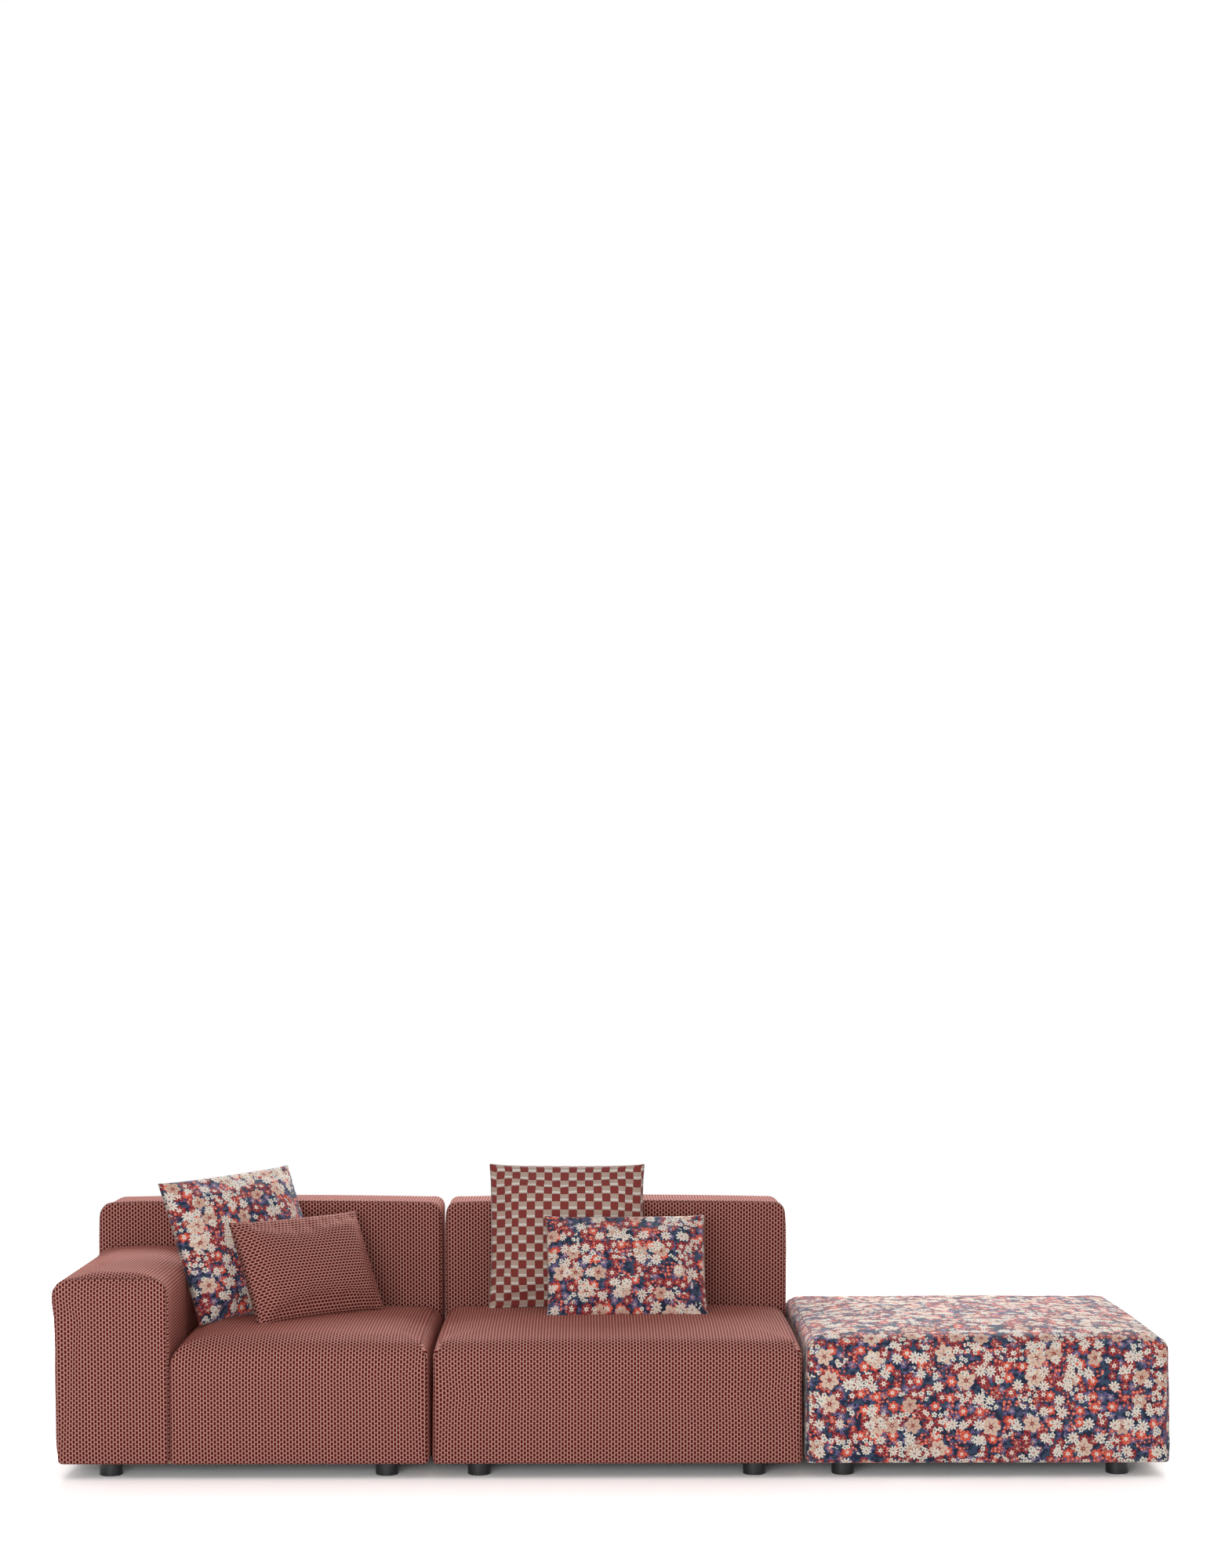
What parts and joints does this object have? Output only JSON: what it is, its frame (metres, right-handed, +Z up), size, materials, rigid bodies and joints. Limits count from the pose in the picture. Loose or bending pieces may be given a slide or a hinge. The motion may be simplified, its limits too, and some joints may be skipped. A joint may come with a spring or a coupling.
{
  "type": "modular sofa",
  "caption": "Low modular sofa: a corner-armed seat unit, an armless seat unit and a backless ottoman, upholstered blocks on short cylinder feet, with loose cushions.",
  "frame": {"origin": "on the floor, under the middle of the row of units and cushions", "axes": "+X to the right as the sofa is seen from the front, +Y to the back, +Z up"},
  "size_m": [2.974, 0.935, 0.792],
  "materials": {
    "woven_fabric": "matt woven",
    "floral_fabric": "matt printed",
    "check_fabric": "matt woven",
    "foam": "open-cell foam",
    "padding": "wadding",
    "filling": "fibre",
    "webbing": "woven elastic",
    "timber": "planed",
    "plywood": "sanded",
    "dust_cloth": "non-woven",
    "black_plastic": "matt moulded",
    "zinc_steel": "zinc plated",
    "black_steel": "blackened"
  },
  "bodies": {
    "centre_unit": {"centre_seat_cover": "woven_fabric", "centre_seat_foam": "foam", "centre_seat_border": "padding", "centre_seat_webbing": "webbing", "centre_seat_rails": "timber", "centre_back_cover": "woven_fabric", "centre_back_foam": "foam", "centre_back_ribs": "plywood", "centre_back_boards": "plywood", "centre_back_rails": "timber", "centre_feet": "black_plastic", "centre_foot_bolts": "zinc_steel", "centre_corner_blocks": "timber", "centre_dust_cloth": "dust_cloth", "centre_joining_bolts": "zinc_steel", "centre_link_tongues": "black_steel", "centre_link_pockets": "black_steel"},
    "left_unit": {"left_seat_cover": "woven_fabric", "left_seat_foam": "foam", "left_seat_border": "padding", "left_seat_webbing": "webbing", "left_seat_rails": "timber", "left_back_cover": "woven_fabric", "left_back_foam": "foam", "left_back_ribs": "plywood", "left_back_boards": "plywood", "left_back_rails": "timber", "left_arm_cover": "woven_fabric", "left_arm_foam": "foam", "left_arm_ribs": "plywood", "left_arm_boards": "plywood", "left_arm_rails": "timber", "left_feet": "black_plastic", "left_foot_bolts": "zinc_steel", "left_corner_blocks": "timber", "left_dust_cloth": "dust_cloth", "left_joining_bolts": "zinc_steel", "left_link_pockets": "black_steel"},
    "ottoman": {"ottoman_seat_cover": "floral_fabric", "ottoman_seat_foam": "foam", "ottoman_seat_border": "padding", "ottoman_seat_webbing": "webbing", "ottoman_seat_rails": "timber", "ottoman_feet": "black_plastic", "ottoman_foot_bolts": "zinc_steel", "ottoman_corner_blocks": "timber", "ottoman_dust_cloth": "dust_cloth", "ottoman_link_tongues": "black_steel"},
    "large_floral_cushion": {"large_floral_cushion": "floral_fabric", "large_floral_cushion_filling": "filling"},
    "small_woven_cushion": {"small_woven_cushion": "woven_fabric", "small_woven_cushion_filling": "filling"},
    "large_check_cushion": {"large_check_cushion": "check_fabric", "large_check_cushion_filling": "filling"},
    "small_floral_cushion": {"small_floral_cushion": "floral_fabric", "small_floral_cushion_filling": "filling"}
  },
  "joints": [
    {"name": "left_unit_away", "type": "slide", "parent": "centre_unit", "child": "left_unit", "axis": [-1, 0, 0], "range_m": [0, 0.3]},
    {"name": "ottoman_away", "type": "slide", "parent": "centre_unit", "child": "ottoman", "axis": [1, 0, 0], "range_m": [0, 0.3]},
    {"name": "large_floral_lift", "type": "slide", "parent": "left_unit", "child": "large_floral_cushion", "axis": [-0.156, 0.131, 0.979], "range_m": [0, 0.3]},
    {"name": "small_woven_lift", "type": "slide", "parent": "left_unit", "child": "small_woven_cushion", "axis": [0, -0.243, 0.97], "range_m": [0, 0.3]},
    {"name": "large_check_lift", "type": "slide", "parent": "centre_unit", "child": "large_check_cushion", "axis": [0.002, 0.116, 0.9932], "range_m": [0, 0.3]},
    {"name": "small_floral_lift", "type": "slide", "parent": "centre_unit", "child": "small_floral_cushion", "axis": [0, -0.243, 0.97], "range_m": [0, 0.3]}
  ]
}
